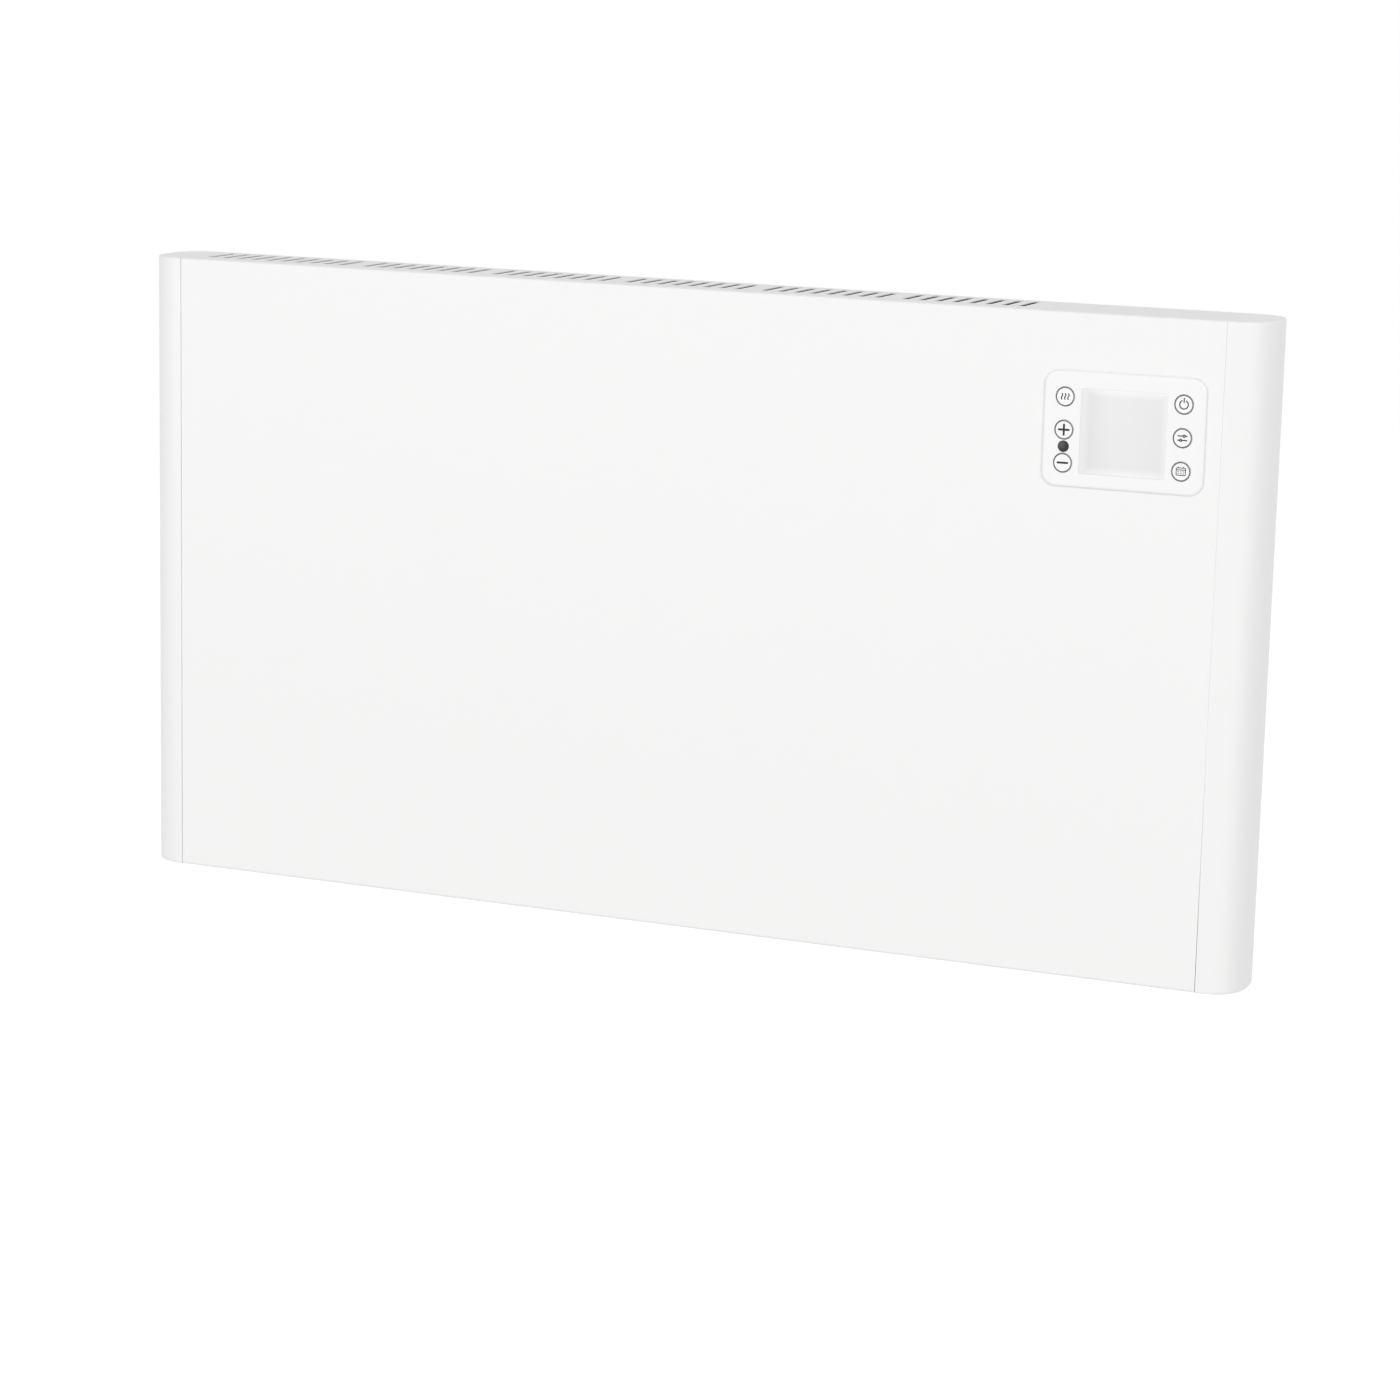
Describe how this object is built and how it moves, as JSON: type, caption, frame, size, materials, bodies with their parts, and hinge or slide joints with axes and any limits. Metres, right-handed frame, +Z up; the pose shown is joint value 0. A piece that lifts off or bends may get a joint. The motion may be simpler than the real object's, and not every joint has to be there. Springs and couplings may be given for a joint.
{
  "type": "wall panel convector heater",
  "caption": "Slim white wall convector: folded sheet-steel casing with air slots, rounded end caps, raised control panel with display and push keys, finned element inside, hook-on wall bracket.",
  "frame": {"origin": "middle of the wall bracket's back face, which lies on the wall; it is level with the middle of the heater", "axes": "+X to the right as seen from the room, +Y into the wall, +Z up; the front faces -Y"},
  "size_m": [0.853, 0.0875, 0.46],
  "materials": {
    "white_paint": "fine satin powder coat on sheet steel",
    "white_plastic": "satin moulded plastic",
    "key_plastic": "smooth moulded plastic with dark printed symbols",
    "display_window": "smooth translucent pale grey, blank when off",
    "black_gloss": "polished dark infrared window",
    "black_plastic": "moulded flame-retardant plastic",
    "galvanised": "zinc-coated sheet steel",
    "fin_aluminium": "extruded, mill finish",
    "steel": "zinc-plated",
    "ceramic": null,
    "board_green": "solder mask",
    "relay_blue": "moulded relay case",
    "ribbon_grey": "flat cable",
    "red_lead": "silicone-sleeved wire",
    "blue_lead": "silicone-sleeved wire",
    "dark_rubber": "moulded rubber"
  },
  "bodies": {
    "bracket": {"wall_bracket": "galvanised"},
    "heater": {"front_casing": "white_paint", "top_grille": "white_paint", "top_cover_rail": "white_paint", "bottom_cover_rail": "white_paint", "rear_cover": "white_paint", "left_end_cap": "white_plastic", "right_end_cap": "white_plastic", "box_bulkhead": "galvanised", "heat_shield": "galvanised", "heating_element": "fin_aluminium", "element_rod": "steel", "left_bush": "ceramic", "right_bush": "ceramic", "left_element_bracket": "galvanised", "right_element_bracket": "galvanised", "thermal_cutout": "black_plastic", "thermal_fuse": "steel", "supply_lead": "red_lead", "return_lead": "blue_lead", "control_panel": "white_plastic", "display_window": "display_window", "display_module": "black_plastic", "remote_eye": "black_gloss", "infrared_receiver": "black_plastic", "control_board": "board_green", "electronics_tray": "black_plastic", "power_board": "board_green", "left_relay": "relay_blue", "right_relay": "relay_blue", "supply_transformer": "black_plastic", "capacitor": "black_plastic", "terminal_block": "ceramic", "ribbon_cable": "ribbon_grey", "room_sensor": "white_plastic", "cord_gland": "dark_rubber", "left_wall_spacer": "dark_rubber", "right_wall_spacer": "dark_rubber", "mode_switch": "black_plastic", "plus_switch": "black_plastic", "minus_switch": "black_plastic", "power_switch": "black_plastic", "set_switch": "black_plastic", "timer_switch": "black_plastic", "cover_screw_1": "steel", "cover_screw_2": "steel", "cover_screw_3": "steel", "cover_screw_4": "steel", "cover_screw_5": "steel", "cover_screw_6": "steel", "cap_screw_1": "steel", "cap_screw_2": "steel", "cap_screw_3": "steel", "cap_screw_4": "steel"},
    "mode_button": {"mode_key": "key_plastic"},
    "plus_button": {"plus_key": "key_plastic"},
    "minus_button": {"minus_key": "key_plastic"},
    "power_button": {"power_key": "key_plastic"},
    "set_button": {"set_key": "key_plastic"},
    "timer_button": {"timer_key": "key_plastic"}
  },
  "joints": [
    {"name": "lift_off", "type": "slide", "parent": "bracket", "child": "heater", "axis": [0, 0, 1], "range_m": [0, 0.012]},
    {"name": "mode_press", "type": "slide", "parent": "heater", "child": "mode_button", "axis": [0, 1, 0], "range_m": [0, 0.0008], "stiffness_N_per_m": 1500, "springref_m": -0.0004},
    {"name": "plus_press", "type": "slide", "parent": "heater", "child": "plus_button", "axis": [0, 1, 0], "range_m": [0, 0.0008], "stiffness_N_per_m": 1500, "springref_m": -0.0004},
    {"name": "minus_press", "type": "slide", "parent": "heater", "child": "minus_button", "axis": [0, 1, 0], "range_m": [0, 0.0008], "stiffness_N_per_m": 1500, "springref_m": -0.0004},
    {"name": "power_press", "type": "slide", "parent": "heater", "child": "power_button", "axis": [0, 1, 0], "range_m": [0, 0.0008], "stiffness_N_per_m": 1500, "springref_m": -0.0004},
    {"name": "set_press", "type": "slide", "parent": "heater", "child": "set_button", "axis": [0, 1, 0], "range_m": [0, 0.0008], "stiffness_N_per_m": 1500, "springref_m": -0.0004},
    {"name": "timer_press", "type": "slide", "parent": "heater", "child": "timer_button", "axis": [0, 1, 0], "range_m": [0, 0.0008], "stiffness_N_per_m": 1500, "springref_m": -0.0004}
  ]
}
